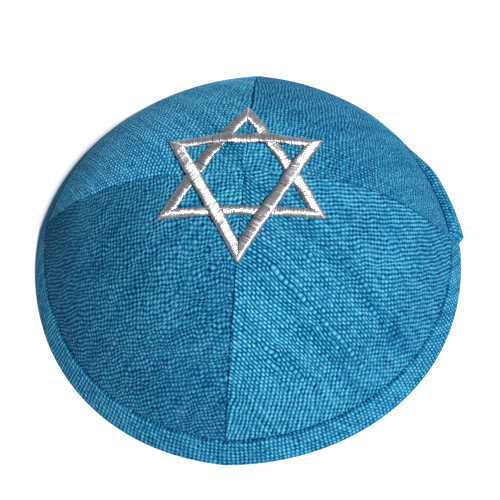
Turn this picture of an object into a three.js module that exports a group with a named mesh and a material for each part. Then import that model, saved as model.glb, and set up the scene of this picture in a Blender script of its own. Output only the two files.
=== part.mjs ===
// A linen kippah skullcap: four crown panels, a bound rim and a six-pointed star in satin stitch.
// Millimetres, +Z up. The rim rests on z = 0 and the front of the cap faces -Y.

import * as THREE from 'three'

const degrees = Math.PI / 180
const quarterTurn = Math.PI / 2

// The crown, measured on the outer face of the cloth.
const rimRadius = 85
const crownHeight = 51.5
const apexPeak = 1                // the four panel tips rise this much to a point
const profilePower = 2.49         // 2 is a parabola, more is flatter on top and steeper at the rim
const apexLean = { x: 2.7, y: -0.8 }            // the apex stands this far from the middle of the rim
const squareness = { halfway: 0.107, rim: 0.048 }   // 0 is a round plan, 1 is straight from seam to seam
const rimWaves = [
  { lobes: 3, cosine: 0, sine: -0.32 },
  { lobes: 4, cosine: -0.2, sine: -0.37 },
]
// Each seam runs from the apex to the rim. bow is how far it swings to the side halfway down.
const seams = [
  { side: 'right', bow: 0.5 },
  { side: 'back', bow: 0 },
  { side: 'left', bow: 1.6 },
  { side: 'front', bow: 0 },
]
const panels = [
  { name: 'panel_back_right', firstSeam: 0 },
  { name: 'panel_back_left', firstSeam: 1 },
  { name: 'panel_front_left', firstSeam: 2 },
  { name: 'panel_front_right', firstSeam: 3 },
]

// Wall sizes. Every two pieces keep pieceGap between them.
const pieceGap = 0.3
const panelThickness = 1.4
const bindingThickness = 1.2
const bindingWidth = 10.9         // up the wall, from the table to the groove it is sewn in
const restThickness = 1.2         // of the binding where it lies on the table

// The lapped end of the binding tape, a lump on the rim just behind the right seam.
const lap = { rise: 2.3, thinAngle: 21, fullAngle: 8, lipAngle: 4.6, endAngle: 3, width: 8.5 }

// The star: two triangles of satin stitch, the one pointing down worked over the one pointing up.
// Corners are outer ones, on the flattened cloth with the apex at the middle, anticlockwise. Each row
// also has the bar that runs on to the next corner: its width, and how far its middle swings outwards.
const satin = { rise: 0.9, clothGap: 0.4, pressed: 0.55, rampLength: 3 }
const triangles = [
  {
    name: 'star_triangle_up', over: false,
    sides: [
      { corner: 'top', x: -0.8, y: 29.6, width: 3.95, bow: 0.35 },
      { corner: 'lower left', x: -28.1, y: -17.1, width: 3.1, bow: 0.4 },
      { corner: 'lower right', x: 27.3, y: -14.9, width: 3.95, bow: 0.2 },
    ],
  },
  {
    name: 'star_triangle_down', over: true,
    sides: [
      { corner: 'bottom', x: 0.6, y: -32.4, width: 3.95, bow: 0.1 },
      { corner: 'upper right', x: 26.2, y: 15.6, width: 3.5, bow: -0.2 },
      { corner: 'upper left', x: -27.2, y: 14.2, width: 3.95, bow: 0.95 },
    ],
  },
]

// How finely the faces are divided.
const panelRows = 20              // from the apex to the top of the binding, and columns at the rim
const bindingSteps = 80
const starSteps = 24              // along each side of a triangle

const clothMaterial = { color: 0x2387b4, roughness: 0.9, metalness: 0 }
const satinMaterial = { color: 0xc9c6c8, roughness: 0.35, metalness: 0.1 }

const mix = THREE.MathUtils.lerp
const smooth = THREE.MathUtils.smoothstep

// A place on the crown is named by share, 0 at the apex and 1 at the rim, and by turn, in quarter
// turns: whole numbers lie on the seams, from the right seam at 0 round by the back.
function seamSwing(index, share) {
  const bow = seams[(index + 4) % 4].bow * Math.sin(Math.PI * share)
  return bow / (rimRadius * Math.max(share, 1e-3))
}

function azimuthOf(share, turn) {
  const seam = Math.floor(turn)
  return turn * quarterTurn + mix(seamSwing(seam, share), seamSwing(seam + 1, share), turn - seam)
}

// The point that stands `out` mm off the outer face of the crown.
function crownPoint(share, turn, out = 0) {
  const azimuth = azimuthOf(share, turn)
  const straightPlan = Math.SQRT1_2 / Math.cos((turn - Math.floor(turn) - 0.5) * quarterTurn)
  const square = squareness.halfway * Math.sin(Math.PI * share) + squareness.rim * share
  const wave = rimWaves.reduce(
    (sum, w) => sum + w.cosine * Math.cos(w.lobes * azimuth) + w.sine * Math.sin(w.lobes * azimuth), 0)
  const radius = share * (rimRadius + wave) * mix(1, straightPlan, square)
  const height = crownHeight * (1 - share ** profilePower) + apexPeak * (1 - share) ** 3
  const lean = 1 - share * share
  const fall = crownHeight * profilePower * share ** (profilePower - 1)   // of the profile, per share
  const slope = Math.hypot(fall, rimRadius)
  const outward = (out * fall) / slope
  return new THREE.Vector3(
    (radius + outward) * Math.cos(azimuth) + apexLean.x * lean,
    (radius + outward) * Math.sin(azimuth) + apexLean.y * lean,
    height + (out * rimRadius) / slope)
}

// The share that lies `up` mm above the rim's edge, measured along the profile.
function shareAbove(up) {
  const step = 1e-3
  let share = 1
  for (let climbed = 0; climbed < up; share -= step) {
    const fall = crownHeight * profilePower * share ** (profilePower - 1)
    climbed += step * Math.hypot(fall, rimRadius)
  }
  return share
}

// The point `arc` mm from the apex down the cloth, in the direction of `turn`, `out` mm off it.
function pointFromApex(arc, turn, out) {
  const step = 0.005
  let share = 0
  let run = 0
  let last = crownPoint(0, turn)
  while (run < arc) {
    const next = crownPoint(share + step, turn)
    const length = next.distanceTo(last)
    const part = Math.min(1, (arc - run) / length)
    share += step * part
    run += length * part + 1e-9
    last = next
  }
  return crownPoint(share, turn, out)
}

function geometryFrom(points, faces) {
  const geometry = new THREE.BufferGeometry()
  geometry.setAttribute('position', new THREE.Float32BufferAttribute(points.flatMap(p => p.toArray()), 3))
  geometry.setIndex(faces)
  geometry.computeVertexNormals()
  return geometry
}

// Down a panel's wall: the crown as far as the groove, then the tuck that the binding covers.
const tuck = bindingThickness + pieceGap
const panelEdge = [
  { up: bindingWidth + 2.2, out: 0 },
  { up: bindingWidth + 1.2, out: -0.1 },
  { up: bindingWidth + 0.6, out: -0.6 },
  { up: bindingWidth + 0.3, out: -tuck },
  { up: 7.2, out: -tuck },
  { up: 3.9, out: -tuck },
]

// The rows of points on one face of a panel, from the single point at its tip to its lower edge.
function panelRowsAt(firstSeam, inset) {
  const edgeTop = shareAbove(panelEdge[0].up)
  const tip = pieceGap / Math.SQRT2 / rimRadius
  const rows = []
  for (let row = 0; row <= panelRows; row++) {
    rows.push({ share: mix(tip, edgeTop, row / panelRows), out: 0, columns: row })
  }
  for (const { up, out } of panelEdge.slice(1)) {
    rows.push({ share: shareAbove(up), out, columns: panelRows })
  }
  return rows.map(({ share, out, columns }) => {
    const margin = columns === 0 ? 0.5 : pieceGap / 2 / (quarterTurn * rimRadius * share)
    const row = []
    for (let column = 0; column <= columns; column++) {
      const across = columns === 0 ? 0.5 : mix(margin, 1 - margin, column / columns)
      row.push(crownPoint(share, firstSeam + across, out - inset))
    }
    return row
  })
}

function panelGeometry({ firstSeam }) {
  const outer = panelRowsAt(firstSeam, 0)
  const inner = panelRowsAt(firstSeam, panelThickness)
  const points = [...outer.flat(), ...inner.flat()]
  const innerStart = points.length / 2
  const rowStart = [0]
  for (const row of outer) rowStart.push(rowStart.at(-1) + row.length)

  const faces = []
  const bothFaces = (a, b, c) => faces.push(a, b, c, innerStart + a, innerStart + c, innerStart + b)
  for (let row = 0; row + 1 < outer.length; row++) {
    const last = outer[row].length - 1
    const lastBelow = outer[row + 1].length - 1
    for (let column = 0; column < lastBelow; column++) {
      const above = rowStart[row] + Math.min(column, last)
      const below = rowStart[row + 1] + column
      bothFaces(above, below, below + 1)
      if (column < last) bothFaces(above, below + 1, above + 1)
    }
  }

  // the cut edges: down the first seam, along the rim and back up the second seam
  const lowest = outer.length - 1
  const border = rowStart.slice(0, lowest + 1)
  for (let column = 1; column <= panelRows; column++) border.push(rowStart[lowest] + column)
  for (let row = lowest - 1; row > 0; row--) border.push(rowStart[row] + outer[row].length - 1)
  border.forEach((from, index) => {
    const to = border[(index + 1) % border.length]
    faces.push(to, from, innerStart + from, to, innerStart + from, innerStart + to)
  })
  return geometryFrom(points, faces)
}

// A closed ring: the same section at every station, joined to the next one round.
function ringGeometry(stations) {
  const around = stations.length
  const along = stations[0].length
  const faces = []
  for (let station = 0; station < around; station++) {
    for (let point = 0; point < along; point++) {
      const a = station * along + point
      const b = station * along + ((point + 1) % along)
      const c = ((station + 1) % around) * along + ((point + 1) % along)
      const d = ((station + 1) % around) * along + point
      faces.push(a, b, c, a, c, d)
    }
  }
  return geometryFrom(stations.flat(), faces)
}

// The binding's section, a U round the panels' edge: down the outer leg, under the edge along the
// table and up the inner leg. The points marked flat lie on z = 0.
const innerLeg = -(2 * bindingThickness + 2 * pieceGap + panelThickness)
const insideInnerLeg = innerLeg + bindingThickness
const bindingSection = [
  { up: bindingWidth, out: -bindingThickness },
  { up: bindingWidth, out: -0.55 },
  { up: bindingWidth - 0.7, out: -0.1 },
  { up: bindingWidth - 2.2, out: 0.05 },
  { up: 5.8, out: 0.15 },
  { up: 2.8, out: 0.15 },
  { up: 0.9, out: 0 },
  { up: 0.2, out: -0.25, flat: true },
  { up: 2.5, out: innerLeg + 0.6, flat: true },
  { up: 3.4, out: innerLeg + 0.1 },
  { up: 5.5, out: innerLeg },
  { up: 8.2, out: innerLeg },
  { up: bindingWidth, out: innerLeg },
  { up: bindingWidth, out: insideInnerLeg },
  { up: 7, out: insideInnerLeg },
  { up: 2.2 + restThickness, out: insideInnerLeg },
  { up: 0.9 + restThickness, out: -bindingThickness },
  { up: 6, out: -bindingThickness },
]

// How far the lapped tape end lifts the outer leg.
function lapRise(angle, up) {
  const along = smooth(-angle, -lap.thinAngle, -lap.fullAngle) * smooth(angle, lap.endAngle, lap.lipAngle)
  return lap.rise * along * (1 - smooth(up, 0.5 * lap.width, lap.width))
}

function bindingGeometry() {
  const angles = []
  for (let step = 0; step < bindingSteps; step++) angles.push((step * 360) / bindingSteps)
  angles.push(lap.endAngle, 0.5 * (lap.endAngle + lap.lipAngle), lap.lipAngle + 1.5, lap.fullAngle, lap.thinAngle)
  angles.sort((a, b) => a - b)
  const shares = bindingSection.map(({ up }) => shareAbove(up))
  const stations = angles.map(angle => bindingSection.map(({ up, out, flat }, index) => {
    const lifted = out > -bindingThickness ? out + lapRise(angle, up) : out
    const point = crownPoint(shares[index], angle / 90, lifted)
    if (flat) point.z = 0
    return point
  }))
  return ringGeometry(stations)
}

// A point of the flat star pattern, laid on the crown.
function onCrown({ x, y }, out) {
  const turn = Math.atan2(y, x) / quarterTurn
  return pointFromApex(Math.hypot(x, y), turn < 0 ? turn + 4 : turn, out)
}

// The corners of a triangle's outer edge, and of its inner edge, which the bars' widths set back.
function cornersOf({ sides }) {
  const outer = sides.map(({ x, y }) => new THREE.Vector2(x, y))
  const inner = outer.map((corner, index) => {
    const ahead = outer[(index + 1) % 3].clone().sub(corner).normalize()
    const behind = outer[(index + 2) % 3].clone().sub(corner).normalize()
    const reach = 1 / ahead.cross(behind)
    return corner.clone()
      .addScaledVector(ahead, sides[(index + 2) % 3].width * reach)
      .addScaledVector(behind, sides[index].width * reach)
  })
  return { outer, inner }
}

// A point of the flat pattern: part of the way along a bar, and across it from the outer edge.
function barPoint(triangle, side, part, across) {
  const { outer, inner } = cornersOf(triangle)
  const from = outer[side].clone().lerp(inner[side], across)
  const to = outer[(side + 1) % 3].clone().lerp(inner[(side + 1) % 3], across)
  const outwards = new THREE.Vector2(to.y - from.y, from.x - to.x).normalize()
  return from.lerp(to, part).addScaledVector(outwards, triangle.sides[side].bow * 4 * part * (1 - part))
}

function midlineOf(triangle) {
  const points = []
  for (let side = 0; side < 3; side++) {
    for (let step = 0; step < 60; step++) points.push(barPoint(triangle, side, step / 60, 0.5))
  }
  return points
}

// Across a satin bar, from its inner edge over the crest to its outer edge and back underneath.
const satinSection = [
  { across: 1, lift: 0 },
  { across: 0.84, lift: 0.65 },
  { across: 0.5, lift: 1 },
  { across: 0.16, lift: 0.65 },
  { across: 0, lift: 0 },
  { across: 0.5, lift: 0 },
]

function triangleGeometry(triangle) {
  const otherMidline = midlineOf(triangles.find(other => other !== triangle))
  const nearBar = triangle.sides[0].width / 2 + 1
  const stations = []
  for (let side = 0; side < 3; side++) {
    for (let step = 0; step < starSteps; step++) {
      stations.push(satinSection.map(({ across, lift }) => {
        const place = barPoint(triangle, side, step / starSteps, across)
        const distance = Math.min(...otherMidline.map(point => point.distanceTo(place)))
        const crossing = 1 - smooth(distance, nearBar, nearBar + satin.rampLength)
        const rise = lift * satin.rise * mix(1, satin.pressed, crossing)
        const base = triangle.over ? crossing * (satin.rise * satin.pressed + pieceGap) : 0
        return onCrown(place, satin.clothGap + base + rise)
      }))
    }
  }
  return ringGeometry(stations)
}

function namedMesh(name, geometry, material) {
  const mesh = new THREE.Mesh(geometry, new THREE.MeshStandardMaterial(material))
  mesh.name = name
  return mesh
}

const skullcap = new THREE.Group()
skullcap.name = 'kippah_skullcap'
for (const panel of panels) skullcap.add(namedMesh(panel.name, panelGeometry(panel), clothMaterial))
skullcap.add(namedMesh('rim_band', bindingGeometry(), clothMaterial))
for (const triangle of triangles) {
  skullcap.add(namedMesh(triangle.name, triangleGeometry(triangle), satinMaterial))
}

// The origin stands on the table under the middle of the rim's outline.
const outline = new THREE.Box3().setFromObject(skullcap)
const middle = outline.getCenter(new THREE.Vector3())
skullcap.position.set(-middle.x, -middle.y, 0)

export default skullcap
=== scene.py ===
# A linen kippah skullcap: four woven crown panels, a bound rim and a satin-stitched six-pointed star.
# Shapes are worked out in millimetres, +Z up, front towards -Y, and turned to metres in the meshes.

import math

import bpy
import numpy as np
from mathutils import Matrix, Vector, geometry


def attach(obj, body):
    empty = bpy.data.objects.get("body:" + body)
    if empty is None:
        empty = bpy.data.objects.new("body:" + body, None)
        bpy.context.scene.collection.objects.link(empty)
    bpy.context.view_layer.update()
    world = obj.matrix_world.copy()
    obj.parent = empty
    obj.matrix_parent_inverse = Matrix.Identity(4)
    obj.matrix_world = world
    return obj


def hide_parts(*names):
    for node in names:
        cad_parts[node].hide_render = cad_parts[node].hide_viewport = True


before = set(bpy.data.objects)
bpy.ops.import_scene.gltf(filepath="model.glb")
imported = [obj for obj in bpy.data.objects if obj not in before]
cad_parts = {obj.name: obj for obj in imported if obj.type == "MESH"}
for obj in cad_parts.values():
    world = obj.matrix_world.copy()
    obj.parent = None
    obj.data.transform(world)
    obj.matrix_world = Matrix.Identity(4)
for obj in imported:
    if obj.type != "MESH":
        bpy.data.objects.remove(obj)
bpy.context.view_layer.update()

mm = 0.001
quarterTurn = math.pi / 2


# The crown, the same surface as in the CAD model, measured on the outer face of the cloth.
crown = {
    "rimRadius": 85, "height": 51.5,
    "apexPeak": 1,  # the four panel tips rise this much to a point
    "profilePower": 2.49,  # 2 is a parabola, more is flatter on top and steeper at the rim
    "leanX": 2.7, "leanY": -0.8,  # the apex stands this far from the middle of the rim
    "squareHalfway": 0.107, "squareRim": 0.048,  # 1 is straight from seam to seam
    "rimWaves": [(3, 0, -0.32), (4, -0.2, -0.37)],  # lobes, cosine, sine
    "seamBows": [0.5, 0, 1.6, 0],  # right, back, left, front: how far each swings halfway down
    "shiftX": -0.592, "shiftY": -0.316,  # puts the middle of the outline on the origin
}
rimRadius = crown["rimRadius"]

cloth = {
    "thickness": 1.4, "pieceGap": 0.3, "seamGap": 0.08,
    "samples": 3,  # mesh lines per yarn
    "relief": 0.42,  # mm that the yarns stand above the pits
    "wander": [(9, 0.45), (3.6, 0.28), (1.7, 0.16)],  # how yarns stray: size of a wave, reach, in yarns
}

binding = {
    "width": 10.9,  # up the wall, from the table to the groove
    "thickness": 1.2,
    "ribs": 360,  # ribs round the rim, one for each crossing of the bias weave
    "samples": 4,  # mesh lines per rib
    "seed": 31, "stray": 0.3,  # how far its yarns wander, in yarns
    "stitchPitch": 2.6, "stitchPull": 0.25,  # mm between the groove's stitches, and their depth
    "swell": 0.12,  # mm that the fold is fuller or thinner along the rim
    # the band's colour is painted darker as a whole, and darker still in the groove and at the lapped end:
    # painted shade
    "paintedLight": 0.82, "openness": 0.65, "ribbing": -0.22,
    "groovePaintedShade": 0.4, "lapPaintedShade": 0.4,  # how much darker the cloth is there
}


def smooth(value, low, high):
    part = np.clip((value - low) / (high - low), 0, 1)
    return part * part * (3 - 2 * part)


def mix(first, second, part):
    return first + (second - first) * part


# Smooth noise from -1 to 1, with one random value at each whole number of x and y.
def softNoise(x, y, seed):
    size = 64
    table = np.random.RandomState(seed).uniform(-1, 1, (size, size))
    column, row = np.floor(x).astype(int), np.floor(y).astype(int)
    across, down = smooth(x - column, 0, 1), smooth(y - row, 0, 1)
    near = mix(table[column % size, row % size], table[(column + 1) % size, row % size], across)
    far = mix(table[column % size, (row + 1) % size], table[(column + 1) % size, (row + 1) % size], across)
    return mix(near, far, down)


# A place on the crown is named by share, 0 at the apex and 1 at the rim, and by turn, in quarter
# turns: whole numbers lie on the seams, from the right seam at 0 round by the back.
def seamSwing(index, share):
    bows = np.array(crown["seamBows"])[np.asarray(index) % 4]
    return bows * np.sin(math.pi * share) / (rimRadius * np.maximum(share, 1e-3))


def profileFall(share):
    power = crown["profilePower"]
    return crown["height"] * power * np.maximum(share, 1e-6) ** (power - 1)


def crownPoint(share, turn, out=0.0):
    share, turn, out = np.broadcast_arrays(np.asarray(share, float), turn, out)
    seam = np.floor(turn).astype(int)
    part = turn - seam
    azimuth = turn * quarterTurn + mix(seamSwing(seam, share), seamSwing(seam + 1, share), part)
    straightPlan = math.sqrt(0.5) / np.cos((part - 0.5) * quarterTurn)
    square = crown["squareHalfway"] * np.sin(math.pi * share) + crown["squareRim"] * share
    wave = sum(c * np.cos(n * azimuth) + s * np.sin(n * azimuth) for n, c, s in crown["rimWaves"])
    radius = share * (rimRadius + wave) * mix(1, straightPlan, square)
    height = crown["height"] * (1 - share ** crown["profilePower"]) + crown["apexPeak"] * (1 - share) ** 3
    lean = 1 - share * share
    fall = profileFall(share)
    slope = np.hypot(fall, rimRadius)
    outward = out * fall / slope
    return np.stack([
        (radius + outward) * np.cos(azimuth) + crown["leanX"] * lean + crown["shiftX"],
        (radius + outward) * np.sin(azimuth) + crown["leanY"] * lean + crown["shiftY"],
        height + out * rimRadius / slope], axis=-1)


# Length of the profile from the apex, and the share at a height above the rim's edge.
shareTable = np.linspace(0, 1.1, 1101)
profileStep = np.hypot(profileFall(shareTable), rimRadius)
arcTable = np.concatenate([[0], np.cumsum((profileStep[1:] + profileStep[:-1]) / 2 * np.diff(shareTable))])
rimArc = np.interp(1, shareTable, arcTable)


def arcAt(share):
    return np.interp(share, shareTable, arcTable)


def shareAbove(up):
    return np.interp(rimArc - np.asarray(up, float), arcTable, shareTable)


# The point and the surface normal at a place given by its distances from the apex along the cloth.
def pointOnCloth(x, y, out):
    step, furthest = 0.005, 0.6
    turn = np.arctan2(y, x) / quarterTurn % 4
    arc = np.hypot(x, y)
    share, run = np.zeros_like(arc), np.zeros_like(arc)
    last = crownPoint(share, turn)
    for _ in range(int(furthest / step)):
        following = crownPoint(share + step, turn)
        length = np.linalg.norm(following - last, axis=-1)
        part = np.clip((arc - run) / length, 0, 1)
        share, run = share + step * part, run + length * part
        last = np.where((part < 1)[..., None], last, following)
    here = crownPoint(share, turn, out)
    normal = crownPoint(share, turn, out + 1.0) - here
    return here, normal


def meshFrom(name, points, triangles, attributes, material):
    mesh = bpy.data.meshes.new(name)
    mesh.vertices.add(len(points))
    mesh.vertices.foreach_set("co", (np.asarray(points) * mm).astype(np.float32).ravel())
    triangles = np.asarray(triangles, np.int32)
    mesh.loops.add(triangles.size)
    mesh.loops.foreach_set("vertex_index", triangles.ravel())
    mesh.polygons.add(len(triangles))
    mesh.polygons.foreach_set("loop_start", np.arange(0, triangles.size, 3, dtype=np.int32))
    mesh.polygons.foreach_set("use_smooth", np.ones(len(triangles), bool))
    for label, values in attributes.items():
        layer = mesh.attributes.new(label, "FLOAT_VECTOR", "POINT")
        layer.data.foreach_set("vector", np.asarray(values, np.float32).ravel())
    mesh.update(calc_edges=True)
    mesh.validate()
    mesh.materials.append(material)
    piece = bpy.data.objects.new(name, mesh)
    bpy.context.scene.collection.objects.link(piece)
    return piece


def linearColour(hexText):
    channels = [int(hexText[start:start + 2], 16) / 255 for start in (1, 3, 5)]
    return [c / 12.92 if c <= 0.04045 else ((c + 0.055) / 1.055) ** 2.4 for c in channels] + [1]


# Adds a node, with its inputs by name or in order, and its settings as keywords.
def addNode(tree, kind, inputs=(), **settings):
    node = tree.nodes.new("ShaderNode" + kind)
    for name, value in settings.items():
        setattr(node, name, value)
    for socket, value in inputs.items() if isinstance(inputs, dict) else enumerate(inputs):
        if isinstance(value, bpy.types.Node):
            value = value.outputs[0]
        if isinstance(value, bpy.types.NodeSocket):
            tree.links.new(value, node.inputs[socket])
        else:
            node.inputs[socket].default_value = value
    return node


def newMaterial(name):
    material = bpy.data.materials.new(name)
    material.use_nodes = True
    material.node_tree.nodes.clear()
    return material, material.node_tree


# How the yarns stand, in the mesh and the material. Warp floats join into rows in a tight weave, into
# a net with a dark pit at each weft crossing in an open one, and corner to corner with ribbing, where
# the cloth is pulled on the bias.
yarnShape = {
    "warpPower": 0.28, "openPower": 0.3, "slubPower": -0.1,  # a higher power makes narrower crowns
    "weftPower": 0.4, "weftHeight": 0.6, "openHeight": -0.35,  # the weft lies lower, most in a net
    "rowPower": 0.8,  # how wide the dark lines between rows are
    "slubHeight": 0.2,
}

# Plain-woven slubbed linen, piece-dyed turquoise blue: the colour is painted lighter on the raised yarn
# crossings and darker in the pits between them, a painted highlight and painted shade, and each yarn took
# the dye a little differently. The fibres are drawn about four times as coarse as real ones.
clothLook = {
    "ramp": [(0.0, "#001930"), (0.28, "#013657"), (0.52, "#0a5677"), (0.74, "#2c7790"), (1.0, "#5295a5")],
    "floatTone": 0.26, "yarnTone": 0.18, "fibreTone": 0.3, "patchTone": 0.34, "cloudTone": 0.24,
    "slubTone": -0.1,  # slubs took up more of the dye
    "warpOnTop": (-0.6, -0.5),  # over which the weft gives way to the warp
    "fibresAcross": 14, "fibresAlong": 2.2, "patchesPerYarn": 0.8, "cloudsPerMetre": 60,
    # powers by which the painted light tints red and blue
    "paintedRedPower": 1.5, "paintedBluePower": 0.7, "paintedPaleBluePower": 0.5,  # powers of a panel's shade
    "fibreHeight": 0.45, "bumpStrength": 0.55, "bumpDepth": 0.00025,
}


def makeClothMaterial():
    look, shape = clothLook, yarnShape
    material, tree = newMaterial("slubbed_linen_plain_weave")
    yarn, weave, paintedShading = (
        addNode(tree, "Attribute", attribute_name=name).outputs["Vector"]
        for name in ("yarn", "weave", "paintedShading"))
    warpPlace, weftPlace, _ = addNode(tree, "SeparateXYZ", [yarn]).outputs
    openness, ribbing, slub = addNode(tree, "SeparateXYZ", [weave]).outputs
    paintedCreaseShade, paintedLight, _ = addNode(tree, "SeparateXYZ", [paintedShading]).outputs
    waves = []
    for place in (warpPlace, weftPlace):
        phase = addNode(tree, "Math", [place, math.pi], operation="MULTIPLY")
        waves += [addNode(tree, "Math", [phase], operation=wave) for wave in ("COSINE", "SINE")]
    along, alongTurn, across, acrossTurn = waves
    crossed = addNode(tree, "Math", [along, across], operation="MULTIPLY")
    slanted = addNode(tree, "Math", [alongTurn, acrossTurn], operation="MULTIPLY")
    over = addNode(tree, "Math", [slanted, ribbing, crossed], operation="MULTIPLY_ADD")
    warpOnTop = addNode(tree, "MapRange", {
        "Value": over, "From Min": look["warpOnTop"][0], "From Max": look["warpOnTop"][1]})

    # how near the point is to the crown of a yarn, the same sum as in weaveRelief
    acrossSize = addNode(tree, "Math", [across], operation="ABSOLUTE")
    rowPower = addNode(tree, "Math", [
        openness, -shape["rowPower"], shape["rowPower"]], operation="MULTIPLY_ADD")
    rowShape = addNode(tree, "Math", [acrossSize, rowPower], operation="POWER")
    openPower = addNode(tree, "Math", [
        openness, shape["openPower"], shape["warpPower"]], operation="MULTIPLY_ADD")
    warpPower = addNode(tree, "Math", [slub, shape["slubPower"], openPower], operation="MULTIPLY_ADD")
    weftHeight = addNode(tree, "Math", [
        openness, shape["openHeight"], shape["weftHeight"]], operation="MULTIPLY_ADD")
    warpUp = addNode(tree, "Math", [over, 0.5, 0.5], operation="MULTIPLY_ADD")
    weftUp = addNode(tree, "Math", [over, -0.5, 0.5], operation="MULTIPLY_ADD")
    warpCrown = addNode(tree, "Math", [warpUp, warpPower], operation="POWER")
    weftRound = addNode(tree, "Math", [weftUp, shape["weftPower"]], operation="POWER")
    weftCrown = addNode(tree, "Math", [weftRound, weftHeight], operation="MULTIPLY")
    higher = addNode(tree, "Math", [warpCrown, weftCrown], operation="MAXIMUM")
    crownShare = addNode(tree, "Math", [higher, rowShape], operation="MULTIPLY")

    # every float and every yarn has its own tone
    cell = addNode(tree, "VectorMath", [yarn, (0.5, 0.5, 0.5)], operation="ADD")
    cell = addNode(tree, "VectorMath", [cell], operation="FLOOR")
    yarnIndex = addNode(tree, "SeparateXYZ", [cell]).outputs
    floatTone = addNode(tree, "TexWhiteNoise", {"Vector": cell}, noise_dimensions="3D")
    warpTone = addNode(tree, "TexWhiteNoise", {"W": yarnIndex["Y"]}, noise_dimensions="1D")
    weftTone = addNode(tree, "TexWhiteNoise", {"W": yarnIndex["X"]}, noise_dimensions="1D")
    yarnTone = addNode(tree, "Mix", {0: warpOnTop, 2: weftTone, 3: warpTone}, data_type="FLOAT")

    # fibres run along the yarn on top
    many, few = look["fibresAcross"], look["fibresAlong"]
    warpFibre = addNode(tree, "VectorMath", [yarn, (few, many, 1)], operation="MULTIPLY")
    weftFibre = addNode(tree, "VectorMath", [yarn, (many, few, 1)], operation="MULTIPLY")
    fibrePlace = addNode(tree, "Mix", {
        0: warpOnTop, 4: weftFibre, 5: warpFibre}, data_type="VECTOR").outputs[1]
    fibre = addNode(tree, "TexNoise", {"Vector": fibrePlace, "Scale": 1, "Detail": 2})
    patch = addNode(tree, "TexNoise", {"Vector": yarn, "Scale": look["patchesPerYarn"], "Detail": 1})
    where = addNode(tree, "TexCoord").outputs["Object"]
    cloudy = addNode(tree, "TexNoise", {
        "Vector": where, "Scale": look["cloudsPerMetre"], "Detail": 2})

    # painted light and shade: the colour runs from dark in the pits to light on the yarn crowns
    level = crownShare
    for name, noise in (("floatTone", floatTone), ("yarnTone", yarnTone), ("fibreTone", fibre),
                        ("patchTone", patch), ("cloudTone", cloudy)):
        even = addNode(tree, "Math", [noise, 0.5], operation="SUBTRACT")
        level = addNode(tree, "Math", [even, look[name], level], operation="MULTIPLY_ADD")
    level = addNode(tree, "Math", [slub, look["slubTone"], level], operation="MULTIPLY_ADD")
    # painted shade in the seam dips, the groove and at the lapped end
    level = addNode(tree, "Math", [level, paintedCreaseShade], operation="SUBTRACT", use_clamp=True)
    ramp = addNode(tree, "ValToRGB", [level])
    stops = look["ramp"]
    elements = ramp.color_ramp.elements
    elements[0].position, elements[0].color = stops[0][0], linearColour(stops[0][1])
    elements[1].position, elements[1].color = stops[-1][0], linearColour(stops[-1][1])
    for position, colour in stops[1:-1]:
        elements.new(position).color = linearColour(colour)

    # painted light: where a panel is painted darker it also turns deeper and bluer, and where it is painted
    # lighter, paler
    redShade = addNode(tree, "Math", [paintedLight, look["paintedRedPower"]], operation="POWER")
    deepBlue = addNode(tree, "Math", [paintedLight, look["paintedBluePower"]], operation="POWER")
    pale = addNode(tree, "Math", [paintedLight, 1.0], operation="MAXIMUM")
    paleBlue = addNode(tree, "Math", [pale, look["paintedPaleBluePower"]], operation="POWER")
    blueShade = addNode(tree, "Math", [deepBlue, paleBlue], operation="MULTIPLY")
    paintedLightTint = addNode(tree, "CombineXYZ", [redShade, paintedLight, blueShade])
    dyed = addNode(tree, "VectorMath", [ramp, paintedLightTint], operation="MULTIPLY")

    height = addNode(tree, "Math", [
        fibre, look["fibreHeight"], crownShare], operation="MULTIPLY_ADD")
    bump = addNode(tree, "Bump", {
        "Strength": look["bumpStrength"], "Distance": look["bumpDepth"], "Height": height})
    surface = addNode(tree, "BsdfPrincipled", {
        "Base Color": dyed, "Roughness": 0.85, "IOR": 1.5, "Specular IOR Level": 0.03, "Normal": bump,
        "Sheen Weight": 0.15, "Sheen Roughness": 0.4, "Sheen Tint": linearColour("#8cc2ec")})
    addNode(tree, "OutputMaterial", {"Surface": surface})
    return material


# Silver rayon machine embroidery thread, spun and twisted: glossy along its sides, so each bar turns
# from white to grey as it curves away from the light. Lit as a metal, because its glints are silver.
threadLook = {
    "dark": "#8e898b", "light": "#cbc8c9",
    "twistScale": 1.4,  # a mark of the twist about every 0.4 mm
    "twistWobble": 0.4, "twistTone": 0.25,
    "bumpStrength": 0.25, "bumpDepth": 0.0001,
}


def makeThreadMaterial():
    material, tree = newMaterial("silver_rayon_thread")
    strand = addNode(tree, "Attribute", attribute_name="strand").outputs["Vector"]
    strandTone = addNode(tree, "SeparateXYZ", [strand]).outputs["Z"]
    twist = addNode(tree, "TexWave", {
        "Vector": strand, "Scale": threadLook["twistScale"], "Distortion": threadLook["twistWobble"]},
        wave_type="BANDS", bands_direction="DIAGONAL").outputs["Fac"]
    tone = addNode(tree, "Math", [twist, threadLook["twistTone"], strandTone], operation="MULTIPLY_ADD")
    ramp = addNode(tree, "ValToRGB", [tone])
    elements = ramp.color_ramp.elements
    elements[0].color = linearColour(threadLook["dark"])
    elements[1].color = linearColour(threadLook["light"])
    bump = addNode(tree, "Bump", {
        "Strength": threadLook["bumpStrength"], "Distance": threadLook["bumpDepth"], "Height": twist})
    surface = addNode(tree, "BsdfPrincipled", {
        "Base Color": ramp, "Metallic": 1.0, "Roughness": 0.38, "Normal": bump})
    addNode(tree, "OutputMaterial", {"Surface": surface})
    return material


clothMaterial = makeClothMaterial()
threadMaterial = makeThreadMaterial()
print("materials made")


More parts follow.
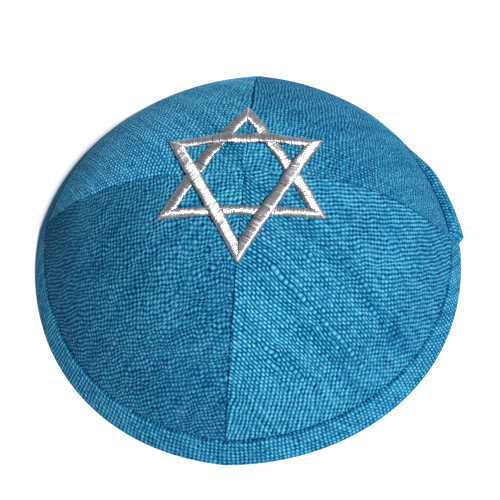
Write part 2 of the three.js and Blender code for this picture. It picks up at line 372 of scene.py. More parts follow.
# Height of the weave over the cloth's face, with a warp yarn on top where the two places are both
# even or both odd numbers.
def weaveRelief(warpPlace, weftPlace, openness, ribbing, slub):
    shape = yarnShape
    across = np.cos(math.pi * weftPlace)
    over = np.cos(math.pi * warpPlace) * across
    over = over + ribbing * np.sin(math.pi * warpPlace) * np.sin(math.pi * weftPlace)
    warpPower = shape["warpPower"] + shape["openPower"] * openness + shape["slubPower"] * slub
    warp = ((1 + over) / 2) ** warpPower * (1 + shape["slubHeight"] * slub)
    weft = ((1 - over) / 2) ** shape["weftPower"] * (shape["weftHeight"] + shape["openHeight"] * openness)
    row = np.abs(across) ** (shape["rowPower"] - shape["rowPower"] * openness)
    return (np.maximum(warp, weft) * row - 0.5) * cloth["relief"]


# Each panel was cut a little off the grain, from cloth whose yarn spacing, in mm, varies. Painted light,
# openness and ribbing change from the panel's first seam to its second: the painted light makes a panel's
# colour lighter or darker as the light falls on it, and the hem's painted shade darkens it near the rim.
# Slubs are long thick stretches of one warp yarn: its number, where it starts and how long it is, in yarns,
# and its extra width.
panels = {
    "panel_back_right": {
        "firstSeam": 0, "seed": 11, "stray": 1.8, "grainTurn": -3, "warpPitch": 0.95, "weftPitch": 1.0,
        "paintedLight": (0.66, 0.5), "hemPaintedShade": 0.1, "openness": (0.8, 0.9), "ribbing": (0.5, 0.08),
        "slubs": [(-6, 20, 24, 0.7), (9, 34, 20, 0.6)], "smallSlubs": 8},
    "panel_back_left": {
        "firstSeam": 1, "seed": 12, "stray": 1.5, "grainTurn": -5, "warpPitch": 1.0, "weftPitch": 1.02,
        "paintedLight": (1.12, 1.45), "hemPaintedShade": 0.1, "openness": (0.5, 0.7), "ribbing": (-0.4, -0.3),
        "slubs": [(7, 24, 26, 0.7)], "smallSlubs": 8},
    "panel_front_left": {
        "firstSeam": 2, "seed": 13, "stray": 2.0, "grainTurn": 4.8, "warpPitch": 0.97, "weftPitch": 1.06,
        "paintedLight": (0.56, 0.72), "hemPaintedShade": 0.18, "openness": (0.9, 0.8), "ribbing": (-0.5, -0.15),
        "slubs": [(12, 34, 18, 0.7), (-9, 50, 20, 0.6), (2, 62, 14, 0.7)], "smallSlubs": 16},
    "panel_front_right": {
        "firstSeam": 3, "seed": 14, "stray": 1.0, "grainTurn": 8.5, "warpPitch": 1.06, "weftPitch": 1.02,
        "paintedLight": (1.08, 0.78), "hemPaintedShade": 0.18, "openness": (0.1, 0.9), "ribbing": (-0.45, 0.45),
        "slubs": [(-19, 17, 62, 1.1), (-2, 36, 20, 0.9), (-5, 56, 30, 0.9), (-37, 45, 9, 1),
                  (-39, 50, 7, 1), (-36, 57, 8, 1), (-41, 60, 6, 0.9)],
        "smallSlubs": 28},
}

# Small slubs are scattered: how far off the middle yarn, where they start down it, how long and wide.
smallSlub = {"spread": 18, "start": (0.15, 0.9), "length": (3, 12), "extra": (0.4, 0.9)}

# A slub thins out at its ends, is lumpy, and pushes the yarns beside it apart.
slubShape = {"endPower": 6, "lumpLength": 2.5, "thinnest": 0.75, "lumps": 0.45, "push": 0.5, "pushReach": 5}

# All four tips share a painted light level, which fades into each panel's own.
apex = {"paintedLight": 0.95, "fade": (0.08, 0.5)}

# Along a seam the cloth dips and then rolls up, in mm, and painted shade darkens the dip.
seam = {"dip": 0.28, "dipWidth": 0.25, "roll": 0.14, "rollAt": 1.2, "rollWidth": 0.7,
        "paintedCreaseShade": 0.34, "paintedShadeWidth": 0.32, "paintedShadeShare": (0.1, 0.5)}

# The wall pulls the weave open, and painted shade darkens the groove. The edge, mm up and mm out from
# the crown, is a tuck that the binding covers.
hem = {"share": (0.66, 0.84), "openness": 0.85, "paintedCreaseShade": 0.42, "paintedShadeUp": (10.9, 11.7),
       "edge": [(10.95, -1.5), (11.15, -0.65), (11.6, -0.2), (12.6, 0)]}
panelBottom = 7.9  # mm above the rim's edge, inside the binding

# The wrong side's coarse grid keeps clear of the seams, in mm, and of the lower edge, in shares.
wrongSide = {"spacing": 3.0, "seamClear": 1.5, "edgeClear": 0.015, "halfWidth": 90}


def edgeOut(up):
    return np.interp(up, *np.array(hem["edge"]).T)


def turned(down, across, degrees):
    cosine, sine = math.cos(math.radians(degrees)), math.sin(math.radians(degrees))
    return down * cosine - across * sine, down * sine + across * cosine


def seamDistance(share, swing):
    return (math.pi / 4 - np.abs(swing)) * rimRadius * share


# The cone that touches the crown at a share: its arc down the profile, the sine of its half angle and
# its radius when it is laid flat.
def coneAt(share):
    coneSine = rimRadius / np.hypot(profileFall(share), rimRadius)
    return arcAt(share), coneSine, rimRadius * share / coneSine


# A panel is laid flat strip by strip, each strip as a piece of its cone.
def flatPlace(share, swing):
    arc, coneSine, coneRadius = coneAt(share)
    return (arc - coneRadius * (1 - np.cos(swing * coneSine)),
            coneRadius * np.sin(swing * coneSine))


# The way back, from a place on the flat panel to the crown, found by halving.
def crownPlace(down, across):
    low, high = np.full_like(down, 1e-4), np.full_like(down, 1.08)
    for _ in range(32):
        share = (low + high) / 2
        arc, coneSine, coneRadius = coneAt(share)
        above = np.hypot(down - arc + coneRadius, across) > coneRadius
        low, high = np.where(above, share, low), np.where(above, high, share)
    share = (low + high) / 2
    arc, coneSine, coneRadius = coneAt(share)
    return share, np.arctan2(across, coneRadius - (arc - down)) / coneSine


# Cuts each quad along the diagonal with the lower score, so that ridges and pits keep their shape.
def splitQuads(quads, score):
    a, b, c, d = quads.T
    ac = score(a, c) <= score(b, d)
    first = np.where(ac[:, None], np.stack([a, b, c], 1), np.stack([a, b, d], 1))
    second = np.where(ac[:, None], np.stack([a, c, d], 1), np.stack([b, c, d], 1))
    return np.concatenate([first, second])


# The points round the open edge of a set of faces, in order.
def borderLoop(faces):
    edges = np.concatenate([np.stack([faces[:, k - 1], faces[:, k]], 1) for k in range(faces.shape[1])])
    known = set(map(tuple, edges.tolist()))
    following = {a: b for a, b in known if (b, a) not in known}
    start = next(iter(following))
    loop, here = [start], following[start]
    while here != start:
        loop.append(here)
        here = following[here]
    return np.array(loop)


def scatterSlubs(panel):
    random = np.random.RandomState(panel["seed"])
    slubs = []
    for _ in range(panel["smallSlubs"]):
        row = int(random.normal(0, smallSlub["spread"]))
        start = abs(row) + random.uniform(*smallSlub["start"]) * (rimArc / panel["weftPitch"] - abs(row))
        length = random.uniform(*smallSlub["length"])
        slubs.append((row, start, length, random.uniform(*smallSlub["extra"])))
    return slubs


# The weave of a flat panel as a lattice: its place in yarns and in mm, and how thick the slubs are there.
def layYarns(panel):
    samples, seed = cloth["samples"], panel["seed"]
    past, halfWidth = 8, rimRadius * 0.93  # the lattice reaches past the panel's edges
    downCount = int((rimArc - panelBottom + past) / panel["weftPitch"] * samples)
    sideCount = int(halfWidth / panel["warpPitch"] * samples)
    warpLine = np.arange(-2 * samples, downCount + 1) / samples
    weftLine = np.arange(-sideCount, sideCount + 1) / samples
    warpPlace, weftPlace = np.meshgrid(warpLine, weftLine, indexing="ij")

    down, across = warpPlace.copy(), weftPlace.copy()
    for number, (size, reach) in enumerate(cloth["wander"]):
        reach = panel["stray"] * reach
        down += reach * softNoise(warpPlace / size, weftPlace / size, seed + 10 * number)
        across += reach * softNoise(warpPlace / size, weftPlace / size, seed + 10 * number + 5)
    slub = np.zeros_like(down)
    for row, start, length, extra in panel["slubs"] + scatterSlubs(panel):
        body = np.exp(-((warpPlace - start - length / 2) / (length / 2)) ** slubShape["endPower"])
        lumps = softNoise(warpPlace / slubShape["lumpLength"], warpPlace * 0 + row, seed + 7)
        body = body * (slubShape["thinnest"] + slubShape["lumps"] * lumps)
        offset = weftPlace - row - 0.5
        across += slubShape["push"] * extra * body * np.clip(offset / 0.5, -1, 1) \
            * np.exp(-np.maximum(np.abs(offset) - 0.5, 0) / slubShape["pushReach"])
        slub = np.maximum(slub, extra * body * (np.abs(offset) <= 0.5))
    down, across = turned(down * panel["weftPitch"], across * panel["warpPitch"], panel["grainTurn"])
    return warpPlace, weftPlace, down, across, slub


# The cells whose middle lies on the panel, as quads, and which points of the lattice they use.
def cellsOnPanel(down, share, swing, shareEnd):
    def middle(grid):
        return (grid[:-1, :-1] + grid[1:, :-1] + grid[:-1, 1:] + grid[1:, 1:]) / 4

    keep = (middle(np.abs(swing)) < math.pi / 4) & (middle(share) < shareEnd) & (middle(down) > 0.05)
    index = np.arange(down.size).reshape(down.shape)
    corners = [index[:-1, :-1], index[1:, :-1], index[1:, 1:], index[:-1, 1:]]
    quads = np.stack([corner[keep] for corner in corners], axis=1)
    used, quads = np.unique(quads, return_inverse=True)
    return quads.reshape(-1, 4), used


# Border points move onto the seams and the lower edge, in order, from the tip and back to it.
def fitBorder(quads, share, swing, shareEnd):
    loop = borderLoop(quads)
    loop = np.roll(loop, -int(np.argmin(share[loop])))
    toBottom = rimArc - panelBottom - arcAt(share)
    cornerGap = np.hypot(seamDistance(share, swing), toBottom)[loop]
    firstCorner = int(np.argmin(np.where(swing[loop] < 0, cornerGap, np.inf)))
    lastCorner = int(np.argmin(np.where(swing[loop] > 0, cornerGap, np.inf)))
    outward, bottom, inward = loop[:firstCorner + 1], loop[firstCorner:lastCorner + 1], loop[lastCorner:]
    share[outward] = np.sort(share[outward])
    share[inward] = np.sort(share[inward])[::-1]
    share[bottom] = shareEnd
    share[loop[0]] = cloth["seamGap"] * math.sqrt(0.5) / rimRadius
    limit = math.pi / 4 - cloth["seamGap"] / 2 / (rimRadius * share)
    swing = np.clip(swing, -limit, limit)
    swing[outward], swing[inward] = -limit[outward], limit[inward]
    swing[bottom] = np.sort(swing[bottom])
    swing[loop[0]] = 0
    onBottom = np.zeros(len(share), bool)
    onBottom[bottom[1:-1]] = True
    return np.minimum(share, shareEnd), swing, onBottom


# The wrong side: points round the cut edge, then those of a coarse grid, and the faces over them.
def layWrongSide(loop, share, swing, plan, shareEnd):
    line = np.arange(-wrongSide["halfWidth"], wrongSide["halfWidth"], wrongSide["spacing"])
    gridX, gridY = (grid.ravel() for grid in np.meshgrid(line, line))
    gridShare, gridSwing = np.hypot(gridX, gridY) / rimRadius, np.arctan2(gridY, gridX)
    clear = seamDistance(gridShare, gridSwing) > wrongSide["seamClear"]
    clear &= gridShare < shareEnd - wrongSide["edgeClear"]
    gridShare, gridSwing = gridShare[clear], gridSwing[clear]
    flat = [Vector(place) for place in plan[loop]]
    flat += [Vector((s * math.cos(w), s * math.sin(w))) * rimRadius
             for s, w in zip(gridShare, gridSwing)]
    count = len(loop)
    border = [(k, (k + 1) % count) for k in range(count)]
    cut = geometry.delaunay_2d_cdt(flat, border, [list(range(count))], 1, 1e-6)
    source = [names[0] for names in cut[3]]
    faces = np.array([[source[corner] for corner in face] for face in cut[2]])[:, ::-1]
    return np.concatenate([share[loop], gridShare]), np.concatenate([swing[loop], gridSwing]), faces


def buildPanel(name, panel):
    shareEnd = float(shareAbove(panelBottom))
    warpPlace, weftPlace, down, across, slub = layYarns(panel)
    share, swing = crownPlace(down, across)
    quads, used = cellsOnPanel(down, share, swing, shareEnd)
    share, swing, warpPlace, weftPlace, slub = (
        grid.ravel()[used] for grid in (share, swing, warpPlace, weftPlace, slub))
    onBorder = np.bincount(quads.ravel(), minlength=len(used)) < 4
    share, swing, onBottom = fitBorder(quads, share, swing, shareEnd)

    # the right side, with its weave, seams and tuck
    up = rimArc - arcAt(share)
    shown = smooth(up, binding["width"] + 0.2, binding["width"] + 0.8)  # clear of the groove
    sideways = smooth(swing / quarterTurn, -0.4, 0.4)  # from one seam to the other
    nearHem = smooth(share, *hem["share"])
    opened = np.maximum(mix(*panel["openness"], sideways), hem["openness"] * nearHem)
    ribbed = mix(panel["ribbing"][0] * nearHem, panel["ribbing"][1], sideways)
    relief = weaveRelief(warpPlace + 0.5, weftPlace + 0.5, opened, ribbed, slub) * shown
    nearSeam = np.where(onBottom, 9, seamDistance(share, swing))  # the lower edge has no seam
    roll = -seam["dip"] * np.exp(-(nearSeam / seam["dipWidth"]) ** 2) \
        + seam["roll"] * np.exp(-((nearSeam - seam["rollAt"]) / seam["rollWidth"]) ** 2)
    out = edgeOut(up) + relief + roll * shown
    outer = crownPoint(share, panel["firstSeam"] + 0.5 + swing / quarterTurn, out)

    def diagonalScore(one, other):
        fold = np.abs(out[one] - out[other])
        return fold + 50 * (onBorder[one] & onBorder[other])

    triangles = splitQuads(quads, diagonalScore)
    plan = np.stack([share * np.cos(swing), share * np.sin(swing)], 1) * rimRadius
    sides = plan[triangles[:, 1:]] - plan[triangles[:, :1]]
    area = sides[:, 0, 0] * sides[:, 1, 1] - sides[:, 0, 1] * sides[:, 1, 0]
    flattened = onBorder[triangles].all(1) & (area < 1e-3)
    triangles = triangles[~flattened]

    # the wrong side, and the strip between the two round the cut edge
    loop = borderLoop(triangles)
    backShare, backSwing, backFaces = layWrongSide(loop, share, swing, plan, shareEnd)
    backOut = edgeOut(rimArc - arcAt(backShare)) - cloth["thickness"]
    inner = crownPoint(backShare, panel["firstSeam"] + 0.5 + backSwing / quarterTurn, backOut)
    count, backStart = len(loop), len(outer)
    here, ahead = np.arange(count), (np.arange(count) + 1) % count
    strip = np.concatenate([
        np.stack([loop[ahead], loop[here], backStart + here], 1),
        np.stack([loop[ahead], backStart + here, backStart + ahead], 1)])
    points = np.concatenate([outer, inner])
    allTriangles = np.concatenate([triangles, strip, backStart + backFaces])

    # what the material reads: place in yarns, kind of weave, and painted shade in the seams and groove and
    # the panel's painted light
    backDown, backAcross = turned(*flatPlace(backShare, backSwing), -panel["grainTurn"])
    yarnX = np.concatenate([warpPlace, backDown / panel["weftPitch"]]) + 0.5
    yarnY = np.concatenate([weftPlace, backAcross / panel["warpPitch"]]) + 0.5
    yarn = np.stack([yarnX + 200 * panel["firstSeam"], yarnY, np.zeros_like(yarnX)], 1)
    weave, paintedShading = np.zeros_like(yarn), np.zeros_like(yarn)
    weave[:, 0] = panel["openness"][0]
    weave[:backStart] = np.stack([opened, ribbed, slub], 1)
    # painted shade along the seams and in the groove
    seamPaintedShade = np.exp(-(nearSeam / seam["paintedShadeWidth"]) ** 2) * seam["paintedCreaseShade"]
    paintedShading[:backStart, 0] = seamPaintedShade * smooth(share, *seam["paintedShadeShare"]) \
        + hem["paintedCreaseShade"] * (1 - smooth(up, *hem["paintedShadeUp"]))
    paintedShading[:, 1] = panel["paintedLight"][0]
    # painted light and shade over the panel, as the light falls on it, and painted shade near the rim
    paintedLight = mix(apex["paintedLight"], mix(*panel["paintedLight"], sideways), smooth(share, *apex["fade"]))
    paintedShading[:backStart, 1] = paintedLight * (1 - panel["hemPaintedShade"] * nearHem)
    piece = meshFrom(name + "_cloth", points, allTriangles,
                     {"yarn": yarn, "weave": weave, "paintedShading": paintedShading}, clothMaterial)
    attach(piece, "root")
    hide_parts(name)
    print(name, len(allTriangles), "triangles")


for name, panel in panels.items():
    buildPanel(name, panel)


# The binding's section, mm up and mm out from the crown: down the outer leg, under the edge along the
# table, up the inner leg and back down between the legs. The third column is 1 on the table.
innerLeg = -(2 * binding["thickness"] + 2 * cloth["pieceGap"] + cloth["thickness"])
outerLeg = [(10.9, -0.55), (10.2, -0.1), (8.7, 0.05), (5.8, 0.15), (2.8, 0.15), (0.9, 0.0), (0.2, -0.25)]
insideLegs = [
    (0.9, -2.2, 1), (2.5, innerLeg + 0.6, 1), (3.4, innerLeg + 0.1, 0), (5.5, innerLeg, 0),
    (8.2, innerLeg, 0), (10.9, innerLeg, 0), (10.9, innerLeg + 1.2, 0), (7, innerLeg + 1.2, 0),
    (3.4, innerLeg + 1.2, 0), (2.1, -1.2, 0), (6, -1.2, 0), (10.9, -1.2, 0)]

# The lapped end at the right seam, in degrees round the rim and mm: where it begins to show, is full,
# rounds over and ends. Its folds run from angle and height to angle and height, with a depth.
lap = {"thinAngle": 37, "fullAngle": 22, "lipAngle": 3.9, "endAngle": 2.3, "rise": 2.3, "width": 10.2,
       "foldWidth": 0.55,
       "folds": [(5.2, 9.2, 15, 6.2, 0.5), (5.0, 6.6, 13, 3.6, 0.45), (4.8, 3.8, 10, 1.6, 0.35)]}


# Rows of the section: height, how far out, whether on the table, and how many of them show outside.
def bindingRows(rowStep):
    rowsDown = int(binding["width"] / rowStep)
    heights = binding["width"] - np.arange(rowsDown + 1) * rowStep
    heights[-1] = outerLeg[-1][0]
    outs = np.interp(heights, *np.array(outerLeg[::-1]).T)
    restHeights, restOuts, flat = np.array(insideLegs).T
    onTable = np.concatenate([np.zeros(rowsDown), [1], flat]) > 0
    return np.concatenate([heights, restHeights]), np.concatenate([outs, restOuts]), onTable, len(heights)


# How much of the lap lies at a place, and how far it lifts the binding there.
def lapShape(angle, up):
    lapped = smooth(-angle, -lap["thinAngle"], -lap["fullAngle"]) \
        * smooth(angle, lap["endAngle"], lap["lipAngle"])
    lift = lap["rise"] * lapped * (1 - smooth(up, 0.6 * lap["width"], lap["width"]))
    degree = math.radians(1) * rimRadius
    for fromAngle, fromUp, toAngle, toUp, depth in lap["folds"]:
        start = np.array([fromAngle * degree, fromUp])
        run = np.array([toAngle * degree, toUp]) - start
        place = np.stack([angle * degree, up], -1) - start
        part = np.clip((place @ run) / (run @ run), 0, 1)
        distance = np.linalg.norm(place - part[..., None] * run, axis=-1)
        lift = lift - depth * np.exp(-(distance / lap["foldWidth"]) ** 2) * (1 - 0.5 * part)
    return lapped, lift


def buildBinding():
    columns, seed = binding["ribs"] * binding["samples"], binding["seed"]
    ribWidth = 2 * math.pi * rimRadius / binding["ribs"]
    heights, outs, onTable, outerRows = bindingRows(ribWidth / binding["samples"])
    rows = len(heights)
    angle, up = np.meshgrid(np.arange(columns) / columns * 360, heights, indexing="ij")
    isOuter = np.arange(rows) < outerRows
    sectionRun = np.concatenate([[0], np.cumsum(np.hypot(np.diff(heights), np.diff(outs)))]) / ribWidth
    downLine = np.arange(rows) / binding["samples"]
    downLine[outerRows:] = downLine[outerRows - 1] + sectionRun[outerRows:] - sectionRun[outerRows - 1]
    along, downward = np.meshgrid(np.arange(columns) / binding["samples"], downLine, indexing="ij")

    # the strip is cut on the bias, so its yarns run slantwise both ways
    yarnX = along + downward + binding["stray"] * softNoise(along / 3, downward / 2, seed)
    yarnY = along - downward + binding["stray"] * softNoise(along / 2.6, downward / 2, seed + 1)
    relief = weaveRelief(yarnX, yarnY, binding["openness"], binding["ribbing"], 0)
    fade = smooth(up, 0.3, 1.2) * (1 - 0.7 * smooth(up, 10.4, 10.9))  # pressed at edge and groove
    stitch = 0.5 + 0.5 * np.cos(2 * math.pi * along * ribWidth / binding["stitchPitch"])
    pulled = -binding["stitchPull"] * stitch * smooth(up, 9.6, 10.9)
    lapped, lift = lapShape(angle, up)
    swell = binding["swell"] * softNoise(along / 9, downward / 6 + 3, seed + 2)
    out = outs + np.where(isOuter, relief * fade + pulled + lift + swell * fade, 0)
    points = crownPoint(shareAbove(heights), angle / 90, out)
    points[..., 2] = np.where(onTable, 0, np.maximum(points[..., 2], 0.0))

    index = np.arange(columns * rows).reshape(columns, rows)
    aheadColumn, belowRow = np.roll(index, -1, 0), np.roll(index, -1, 1)
    quads = np.stack([index, belowRow, np.roll(belowRow, -1, 0), aheadColumn], -1).reshape(-1, 4)
    flatOut = out.ravel()
    triangles = splitQuads(quads, lambda one, other: np.abs(flatOut[one] - flatOut[other]))
    yarn = np.stack([yarnX, yarnY + 4000, np.zeros_like(yarnX)], -1).reshape(-1, 3)
    weave = np.zeros_like(yarn)
    weave[:, 0], weave[:, 1] = binding["openness"], binding["ribbing"]
    # painted shade in the groove and at the lapped end
    paintedCreaseShade = binding["groovePaintedShade"] * smooth(up, 10.3, 10.9) \
        + binding["lapPaintedShade"] * lapped * smooth(up, 8.8, 10.2)
    paintedShading = np.stack([np.where(isOuter, paintedCreaseShade, 0), np.full_like(up, binding["paintedLight"]),
                       np.zeros_like(up)], -1).reshape(-1, 3)
    piece = meshFrom("rim_band_cloth", points.reshape(-1, 3), triangles,
                     {"yarn": yarn, "weave": weave, "paintedShading": paintedShading}, clothMaterial)
    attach(piece, "root")
    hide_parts("rim_band")
    print("rim_band", len(triangles), "triangles")


buildBinding()


# Closed tubes round middle lines, which are counted by tube and ring. Up points away from the cloth,
# slim thins the rings of a tube, and firstCorner turns its section, in corners.
def tubesRound(middle, up, width, height, sides, firstCorner=0, slim=1):
    run = np.gradient(middle, axis=1)
    run /= np.linalg.norm(run, axis=-1, keepdims=True)
    beside = np.cross(run, up)
    beside /= np.linalg.norm(beside, axis=-1, keepdims=True)
    above = np.cross(beside, run)
    points = []
    for corner in range(sides):
        turn = 2 * math.pi * (corner + firstCorner) / sides
        points.append(middle + beside * (math.cos(turn) * width / 2) * slim
                      + above * (math.sin(turn) * height / 2) * slim)
    count, rings = middle.shape[:2]
    index = np.arange(count * rings * sides).reshape(count, rings, sides)
    nextSide = np.roll(index, -1, 2)
    quads = np.stack([index[:, :-1], index[:, 1:], nextSide[:, 1:], nextSide[:, :-1]], -1).reshape(-1, 4)
    faces = [quads[:, [0, 1, 2]], quads[:, [0, 2, 3]]]
    for corner in range(1, sides - 1):
        faces.append(np.stack([index[:, 0, 0], index[:, 0, corner], index[:, 0, corner + 1]], 1))
        faces.append(np.stack([index[:, -1, 0], index[:, -1, corner + 1], index[:, -1, corner]], 1))
    return np.stack(points, 2).reshape(-1, 3), np.concatenate(faces)


# Satin stitch, in mm: threads lie side by side across each bar, over padding that lifts its middle.
# They are drawn a little wider apart than real ones, which lie about 0.2 mm apart.
satin = {
    "rise": 0.9, "clothGap": 0.4,
    "pressed": 0.55, "pressedPast": 1, "rampLength": 3,  # where one bar crosses another
    "threadPitch": 0.28, "threadWidth": 0.42, "threadHeight": 0.36, "shortest": 0.3,
    "steps": 12, "sides": 6, "tipSlim": 0.45,
    "endPast": 0.05, "endDive": 0.5, "endHeight": 0.1,  # the ends go down into the cloth
    "pitchNoise": 0.03, "leanNoise": 0.025, "endNoise": 0.06, "riseNoise": 0.02, "tiltNoise": 0.3,
}

# The star: corners on the flattened cloth with the apex at the middle, anticlockwise, each with the
# width and the outward swing of the bar that runs on to the next corner. A bar's threads slant, in
# degrees at its start, middle and end, and a flatter bar is flat for more of its width.
starTriangles = {
    "star_triangle_up": {
        "over": False, "seed": 21,
        "corners": [(-0.8, 29.6), (-28.1, -17.1), (27.3, -14.9)],
        "widths": [3.95, 3.1, 3.95], "bows": [0.35, 0.4, 0.2],
        "slants": [(-4, -4, -4), (22, 8, -4), (16, -6, -36)], "flatness": [2.2, 2.6, 4]},
    "star_triangle_down": {
        "over": True, "seed": 22,
        "corners": [(0.6, -32.4), (26.2, 15.6), (-27.2, 14.2)],
        "widths": [3.95, 3.5, 3.95], "bows": [0.1, -0.2, 0.95],
        "slants": [(-4, -12, -34), (-4, -4, -4), (12, -12, -16)], "flatness": [5, 2.2, 6]},
}


# The four corners of one bar of a triangle: two on the outline, then two on the inner opening.
def barCorners(star, side):
    outer = [np.array(corner, float) for corner in star["corners"]]

    def innerCorner(number):
        ahead = outer[(number + 1) % 3] - outer[number]
        behind = outer[(number + 2) % 3] - outer[number]
        ahead, behind = ahead / np.linalg.norm(ahead), behind / np.linalg.norm(behind)
        reach = 1 / (ahead[0] * behind[1] - ahead[1] * behind[0])
        return outer[number] + ahead * star["widths"][(number + 2) % 3] * reach \
            + behind * star["widths"][number] * reach

    following = (side + 1) % 3
    return outer[side], outer[following], innerCorner(following), innerCorner(side)


def midlineOf(star):
    places = []
    for side in range(3):
        first, second, third, fourth = barCorners(star, side)
        part = np.linspace(0, 1, 80)[:, None]
        length = second - first
        outward = np.array([length[1], -length[0]]) / np.linalg.norm(length)
        bow = star["bows"][side] * 4 * part * (1 - part)
        places.append(mix((first + fourth) / 2, (second + third) / 2, part) + outward * bow)
    return np.concatenate(places)


# How far back and how far on each thread can run before it leaves a bar's outline.
def runInside(outline, origin, direction):
    low, high = np.full(len(origin), -9.0), np.full(len(origin), 19.0)
    for corner, place in enumerate(outline):
        edge = outline[(corner + 1) % 4] - place
        normal = np.array([-edge[1], edge[0]]) / np.linalg.norm(edge)
        speed = direction @ normal
        crossing = -((origin - place) @ normal) / np.where(np.abs(speed) < 1e-6, 1e-6, speed)
        low = np.where(speed > 0, np.maximum(low, crossing), low)
        high = np.where(speed < 0, np.minimum(high, crossing), high)
    return low, high


# The threads of one bar, as points on the flattened cloth, how far across it each is, and its flatness.
def layThreads(star, side, random):
    outline = barCorners(star, side)
    first, second = outline[:2]
    length, width = np.linalg.norm(second - first), star["widths"][side]
    along = (second - first) / length
    inward = np.array([-along[1], along[0]])
    starts = np.arange(-width, length + width, satin["threadPitch"])
    starts = starts + random.normal(0, satin["pitchNoise"], len(starts))
    slants = np.interp(starts / length, (0, 0.5, 1), star["slants"][side])
    leans = np.radians(slants) + random.normal(0, satin["leanNoise"], len(starts))
    direction = inward * np.cos(leans)[:, None] + along * np.sin(leans)[:, None]
    origin = first + along * starts[:, None]
    low, high = runInside(outline, origin, direction)
    long = high - low > satin["shortest"]
    low, high, direction, origin = low[long], high[long], direction[long], origin[long]
    low, high = np.stack([low, high]) + random.normal(0, satin["endNoise"], (2, len(low)))
    part = (1 - np.cos(math.pi * np.arange(satin["steps"] + 1) / satin["steps"])) / 2
    travel = mix((low - satin["endPast"])[:, None], (high + satin["endPast"])[:, None], part)
    path = origin[:, None] + direction[:, None] * travel[..., None]
    across = np.clip((path - first) @ inward / width, 0, 1)
    share = np.clip((path - first) @ along / length, 0, 1)
    path = path - inward * (star["bows"][side] * 4 * share * (1 - share))[..., None]
    return path, across, np.full((len(path), 1), star["flatness"][side])


def buildTriangle(name, star, otherStar):
    random = np.random.RandomState(star["seed"])
    bars = [layThreads(star, side, random) for side in range(3)]
    path, across, flatness = (np.concatenate(parts) for parts in zip(*bars))
    count, steps, sides = len(path), satin["steps"] + 1, satin["sides"]

    # where the two triangles cross, the lower one is pressed down and the upper one rides over it
    nearest = np.min(np.linalg.norm(path[:, :, None] - midlineOf(otherStar), axis=-1), axis=-1)
    nearBar = star["widths"][0] / 2 + satin["pressedPast"]
    crossing = 1 - smooth(nearest, nearBar, nearBar + satin["rampLength"])
    lift = 1 - np.abs(2 * across - 1) ** flatness
    rise = lift * satin["rise"] * mix(1, satin["pressed"], crossing) \
        + random.normal(0, satin["riseNoise"], (count, 1))
    rise = rise + random.normal(0, satin["tiltNoise"], (count, 1)) * (across - 0.5)
    base = crossing * (satin["rise"] * satin["pressed"] + cloth["pieceGap"]) if star["over"] else 0
    out = satin["clothGap"] + base + rise - satin["threadHeight"] * 0.5
    atEnd = np.zeros(steps, bool)
    atEnd[[0, -1]] = True
    out = np.where(atEnd, np.minimum(out - satin["endDive"], satin["endHeight"]), out)
    middle, normal = pointOnCloth(path[..., 0], path[..., 1], out)
    slim = np.where(atEnd, satin["tipSlim"], 1)[None, :, None]
    points, faces = tubesRound(middle, normal, satin["threadWidth"], satin["threadHeight"],
                               sides, 0.5, slim)

    # what the material reads: along the thread, round it, and its own tone
    strand = np.zeros((count, steps, sides, 3))
    strand[..., 0] = (np.arange(steps) * 0.4)[:, None]
    strand[..., 1] = np.arange(sides) * 0.5
    strand[..., 2] = random.uniform(0.25, 0.75, (count, 1))[:, :, None]
    piece = meshFrom(name + "_stitches", points, faces, {"strand": strand.reshape(-1, 3)}, threadMaterial)
    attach(piece, "root")
    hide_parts(name)
    print(name, count, "stitches,", len(faces), "triangles")


upward, downward = starTriangles["star_triangle_up"], starTriangles["star_triangle_down"]
buildTriangle("star_triangle_up", upward, downward)
buildTriangle("star_triangle_down", downward, upward)


# One stray end of pale cotton hangs out from under the lap: it starts at degrees round the rim, mm up
# and mm out, and runs on by x, y and z.
looseEnd = {"angle": 7.0, "up": 4.6, "out": 2.5, "run": (5.0, -2.4, -1.6), "sag": 0.35, "width": 0.3,
            "rings": 14, "sides": 6, "dark": "#747b77", "light": "#959c97", "fuzzPerMetre": 4000}


# Cotton sewing thread, spun: dull and pale, with a fuzz that blurs its tone and no highlight.
def makeCottonMaterial():
    material, tree = newMaterial("pale_cotton_thread")
    where = addNode(tree, "TexCoord").outputs["Object"]
    fuzz = addNode(tree, "TexNoise", {"Vector": where, "Scale": looseEnd["fuzzPerMetre"], "Detail": 2})
    colour = addNode(tree, "Mix", {
        0: fuzz, 6: linearColour(looseEnd["dark"]), 7: linearColour(looseEnd["light"])},
        data_type="RGBA").outputs[2]
    surface = addNode(tree, "BsdfPrincipled", {"Base Color": colour, "Roughness": 0.8})
    addNode(tree, "OutputMaterial", {"Surface": surface})
    return material


def buildLooseEnd():
    start = crownPoint(shareAbove(looseEnd["up"]), looseEnd["angle"] / 90, looseEnd["out"])
    part = np.linspace(0, 1, looseEnd["rings"])[:, None]
    middle = start + np.array(looseEnd["run"]) * part \
        - np.array([0, 0, looseEnd["sag"]]) * 4 * part * (part - 1)
    points, faces = tubesRound(middle[None], (0, 0, 1), looseEnd["width"], looseEnd["width"],
                               looseEnd["sides"])
    piece = meshFrom("loose_thread_end", points, faces, {}, makeCottonMaterial())
    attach(piece, "root")


buildLooseEnd()
print("loose thread end made")


# A matt pale floor, a white key light from the front right, a weak one from behind and a dim dome.
studio = {"floorSize": 3.0, "floorColour": "#cacdd4",
          "keyStrength": 8, "keyAngle": 14, "keyAzimuth": 60, "keyElevation": 48,
          "backStrength": 0.35, "backAngle": 60, "backAzimuth": 185, "backElevation": 40,
          "domeColour": "#d4e3fb", "domeStrength": 0.22}


# A unit vector towards an azimuth, from the front round to the right, and an elevation, in degrees.
def towards(azimuth, elevation):
    azimuth, elevation = math.radians(azimuth), math.radians(elevation)
    return Vector((math.sin(azimuth) * math.cos(elevation),
                   -math.cos(azimuth) * math.cos(elevation), math.sin(elevation)))


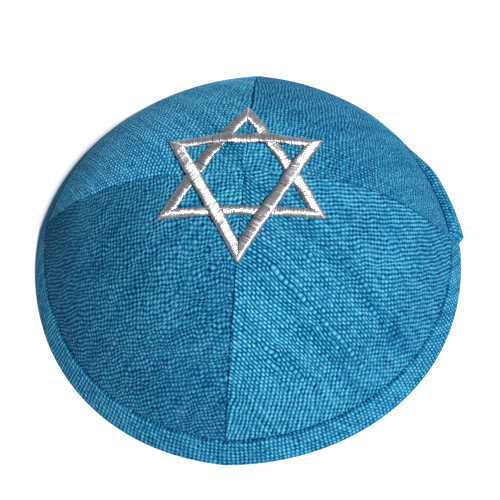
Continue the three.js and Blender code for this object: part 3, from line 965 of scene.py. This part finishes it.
def buildStudio():
    half = studio["floorSize"] / 2
    mesh = bpy.data.meshes.new("floor")
    mesh.from_pydata([(-half, -half, 0), (half, -half, 0), (half, half, 0), (-half, half, 0)], [],
                     [(0, 1, 2, 3)])
    material, tree = newMaterial("matt_white_paper")  # backdrop paper: soft shadows, no gloss
    surface = addNode(tree, "BsdfPrincipled", {
        "Base Color": linearColour(studio["floorColour"]), "Roughness": 0.9})
    addNode(tree, "OutputMaterial", {"Surface": surface})
    mesh.materials.append(material)
    floor = bpy.data.objects.new("floor", mesh)
    bpy.context.scene.collection.objects.link(floor)

    world = bpy.data.worlds.new("studio")
    world.use_nodes = True
    bpy.context.scene.world = world
    background = world.node_tree.nodes["Background"]
    background.inputs["Color"].default_value = linearColour(studio["domeColour"])
    background.inputs["Strength"].default_value = studio["domeStrength"]

    for name in ("key", "back"):
        light = bpy.data.lights.new(name, "SUN")
        light.energy = studio[name + "Strength"]
        light.angle = math.radians(studio[name + "Angle"])
        lamp = bpy.data.objects.new(name, light)
        direction = towards(studio[name + "Azimuth"], studio[name + "Elevation"])
        lamp.rotation_euler = direction.to_track_quat("Z", "Y").to_euler()
        bpy.context.scene.collection.objects.link(lamp)


# The camera stands in front and well above, a little to the right and slightly rolled.
view = {"target": (2.108, -1.116, 20), "distance": 228.4, "azimuth": 9, "elevation": 60, "roll": -5.2,
        "focalPixels": 615, "centreX": 249, "centreY": 219, "imageSize": 500}


def buildCamera():
    back = towards(view["azimuth"], view["elevation"])
    level = Vector((0, 0, 1)).cross(back).normalized()
    right = Matrix.Rotation(math.radians(view["roll"]), 3, back) @ level
    up = back.cross(right)
    place = (Vector(view["target"]) + back * view["distance"]) * mm
    data = bpy.data.cameras.new("camera")
    data.lens = view["focalPixels"] / view["imageSize"] * data.sensor_width
    data.shift_x = 0.5 - view["centreX"] / view["imageSize"]
    data.shift_y = view["centreY"] / view["imageSize"] - 0.5
    camera = bpy.data.objects.new("camera", data)
    camera.matrix_world = Matrix.Translation(place) @ Matrix((right, up, back)).transposed().to_4x4()
    bpy.context.scene.collection.objects.link(camera)
    bpy.context.scene.camera = camera


buildStudio()
buildCamera()
bpy.context.scene.view_settings.view_transform = "Standard"
print("studio and camera set")

bpy.context.view_layer.update()
